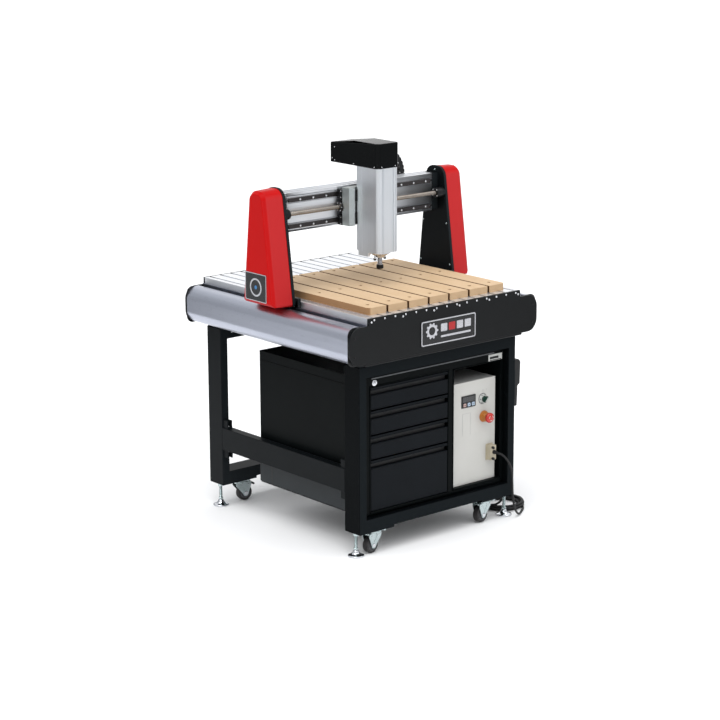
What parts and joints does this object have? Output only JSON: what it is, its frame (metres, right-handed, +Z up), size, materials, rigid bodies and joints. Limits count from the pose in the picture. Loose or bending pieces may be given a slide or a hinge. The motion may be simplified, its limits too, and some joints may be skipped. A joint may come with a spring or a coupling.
{
  "type": "cnc router",
  "caption": "Gantry CNC router: T-slot bed with wooden slats, red-covered moving gantry, lifting spindle head, steel stand, tool drawers and a control box.",
  "frame": {"origin": "on the floor under the middle of the machine", "axes": "+Z up, +X to the right along the front, -Y out of the front where the drawers and the control panel are"},
  "size_m": [0.998, 0.9569, 1.417],
  "materials": {
    "frame_black": "satin powder coat",
    "cover_red": "satin",
    "rail_alu": "brushed anodised",
    "machined_alu": "machined",
    "steel": "ground",
    "dark_steel": "blackened",
    "screw_bronze": "rolled thread",
    "zinc": "bright plated",
    "board": "MDF",
    "black_plastic": "moulded",
    "cap_black": "gloss",
    "badge": "gloss",
    "box_grey": "light grey powder coat",
    "beige": "moulded",
    "switch_green": "gloss",
    "estop_red": "gloss",
    "key_plastic": "gloss",
    "cable": "matt",
    "tyre": "matt"
  },
  "bodies": {
    "frame": {"front_leg_frame": "frame_black", "rear_leg_frame": "frame_black", "side_beams": "frame_black", "bed_supports": "frame_black", "feet_and_caster_plates": "zinc", "front_end_plate": "frame_black", "rear_end_plate": "frame_black", "side_rails": "rail_alu", "bed_planks": "rail_alu", "spoilboard_slats": "board", "deck_screws": "steel", "y_rails": "steel", "y_drive": "dark_steel", "front_badges": "badge", "toolbox_cabinet": "frame_black", "control_box": "box_grey", "control_panel_parts": "black_plastic", "cable_connector": "beige", "cable_leads": "cable", "cable_coil": "cable", "hand_pendant": "black_plastic", "pendant_holder": "frame_black"},
    "gantry": {"gantry_plates": "frame_black", "gantry_covers": "cover_red", "gantry_beam": "rail_alu", "x_rails": "dark_steel", "gantry_underframe": "machined_alu", "x_motor": "dark_steel", "chain_tray": "frame_black"},
    "long_screw": {"y_screw": "screw_bronze"},
    "cross_screw": {"x_screw": "screw_bronze"},
    "carriage": {"x_carriage_block": "machined_alu", "carriage_bearings": "dark_steel", "chain_top_run": "black_plastic"},
    "carrier_loop": {"chain_bend": "black_plastic"},
    "head": {"z_column": "rail_alu", "z_rails": "steel", "head_cap": "cap_black", "head_motors": "dark_steel", "spindle_nose": "zinc"},
    "lift_screw": {"z_screw": "steel"},
    "spindle": {"collet_shaft": "dark_steel"},
    "tool_drawer_1": {"drawer_1": "frame_black"},
    "tool_drawer_2": {"drawer_2": "frame_black"},
    "tool_drawer_3": {"drawer_3": "frame_black"},
    "tool_drawer_4": {"drawer_4": "frame_black"},
    "lock": {"lock_barrel": "zinc"},
    "power_switch": {"switch_knob": "switch_green"},
    "estop": {"estop_head": "estop_red"},
    "stop_key": {"key_stop": "key_plastic"},
    "run_key": {"key_run": "key_plastic"},
    "jog_key": {"key_jog": "key_plastic"},
    "caster_fl": {"caster_fork_fl": "zinc"},
    "wheel_fl": {"caster_wheel_fl": "tyre"},
    "caster_fr": {"caster_fork_fr": "zinc"},
    "wheel_fr": {"caster_wheel_fr": "tyre"},
    "caster_rl": {"caster_fork_rl": "zinc"},
    "wheel_rl": {"caster_wheel_rl": "tyre"},
    "caster_rr": {"caster_fork_rr": "zinc"},
    "wheel_rr": {"caster_wheel_rr": "tyre"}
  },
  "joints": [
    {"name": "gantry_travel", "type": "slide", "parent": "frame", "child": "gantry", "axis": [0, 1, 0], "range_m": [-0.272, 0.341]},
    {"name": "long_screw_turn", "type": "hinge", "parent": "frame", "child": "long_screw", "pos_m": [0, 0, 0.77], "axis": [0, 1, 0], "continuous": true},
    {"name": "carriage_travel", "type": "slide", "parent": "gantry", "child": "carriage", "axis": [1, 0, 0], "range_m": [-0.22, 0.29]},
    {"name": "cross_screw_turn", "type": "hinge", "parent": "gantry", "child": "cross_screw", "pos_m": [0, -0.034, 1.176], "axis": [1, 0, 0], "continuous": true},
    {"name": "carrier_loop_travel", "type": "slide", "parent": "gantry", "child": "carrier_loop", "axis": [1, 0, 0], "range_m": [-0.11, 0.145]},
    {"name": "head_lift", "type": "slide", "parent": "carriage", "child": "head", "axis": [0, 0, 1], "range_m": [-0.055, 0.095]},
    {"name": "lift_screw_turn", "type": "hinge", "parent": "head", "child": "lift_screw", "pos_m": [-0.0385, -0.067, 1.2], "axis": [0, 0, 1], "continuous": true},
    {"name": "spindle_turn", "type": "hinge", "parent": "head", "child": "spindle", "pos_m": [-0.0385, -0.16, 0.97], "axis": [0, 0, 1], "continuous": true},
    {"name": "drawer_1_slide", "type": "slide", "parent": "frame", "child": "tool_drawer_1", "axis": [0, -1, 0], "range_m": [0, 0.45]},
    {"name": "drawer_2_slide", "type": "slide", "parent": "frame", "child": "tool_drawer_2", "axis": [0, -1, 0], "range_m": [0, 0.45]},
    {"name": "drawer_3_slide", "type": "slide", "parent": "frame", "child": "tool_drawer_3", "axis": [0, -1, 0], "range_m": [0, 0.45]},
    {"name": "drawer_4_slide", "type": "slide", "parent": "frame", "child": "tool_drawer_4", "axis": [0, -1, 0], "range_m": [0, 0.45]},
    {"name": "lock_turn", "type": "hinge", "parent": "frame", "child": "lock", "pos_m": [-0.287, -0.418, 0.623], "axis": [0, -1, 0], "range_deg": [0, 90]},
    {"name": "switch_turn", "type": "hinge", "parent": "frame", "child": "power_switch", "pos_m": [0.25, -0.41, 0.47], "axis": [0, -1, 0], "range_deg": [0, 90]},
    {"name": "estop_press", "type": "slide", "parent": "frame", "child": "estop", "axis": [0, 1, 0], "range_m": [0, 0.006]},
    {"name": "stop_key_press", "type": "slide", "parent": "frame", "child": "stop_key", "axis": [0, 1, 0], "range_m": [0, 0.0015], "stiffness_N_per_m": 600},
    {"name": "run_key_press", "type": "slide", "parent": "frame", "child": "run_key", "axis": [0, 1, 0], "range_m": [0, 0.0015], "stiffness_N_per_m": 600},
    {"name": "jog_key_press", "type": "slide", "parent": "frame", "child": "jog_key", "axis": [0, 1, 0], "range_m": [0, 0.0015], "stiffness_N_per_m": 600},
    {"name": "caster_fl_swivel", "type": "hinge", "parent": "frame", "child": "caster_fl", "pos_m": [-0.277, -0.403, 0.08], "axis": [0, 0, 1], "continuous": true},
    {"name": "wheel_fl_roll", "type": "hinge", "parent": "caster_fl", "child": "wheel_fl", "pos_m": [-0.29879, -0.40606, 0.031], "axis": [0.1392, -0.9903, 0], "continuous": true},
    {"name": "caster_fr_swivel", "type": "hinge", "parent": "frame", "child": "caster_fr", "pos_m": [0.259, -0.403, 0.08], "axis": [0, 0, 1], "continuous": true},
    {"name": "wheel_fr_roll", "type": "hinge", "parent": "caster_fr", "child": "wheel_fr", "pos_m": [0.23721, -0.40606, 0.031], "axis": [0.1392, -0.9903, 0], "continuous": true},
    {"name": "caster_rl_swivel", "type": "hinge", "parent": "frame", "child": "caster_rl", "pos_m": [-0.277, 0.391, 0.08], "axis": [0, 0, 1], "continuous": true},
    {"name": "wheel_rl_roll", "type": "hinge", "parent": "caster_rl", "child": "wheel_rl", "pos_m": [-0.25521, 0.38794, 0.031], "axis": [0.1392, 0.9903, 0], "continuous": true},
    {"name": "caster_rr_swivel", "type": "hinge", "parent": "frame", "child": "caster_rr", "pos_m": [0.277, 0.391, 0.08], "axis": [0, 0, 1], "continuous": true},
    {"name": "wheel_rr_roll", "type": "hinge", "parent": "caster_rr", "child": "wheel_rr", "pos_m": [0.277, 0.413, 0.031], "axis": [-1, 0, 0], "continuous": true}
  ],
  "couplings": [
    {"joint": "long_screw_turn", "follows": "gantry_travel", "rad_per_m": 628.32},
    {"joint": "cross_screw_turn", "follows": "carriage_travel", "rad_per_m": 628.32},
    {"joint": "carrier_loop_travel", "follows": "carriage_travel", "ratio": 0.5},
    {"joint": "lift_screw_turn", "follows": "head_lift", "rad_per_m": 1256.6}
  ]
}
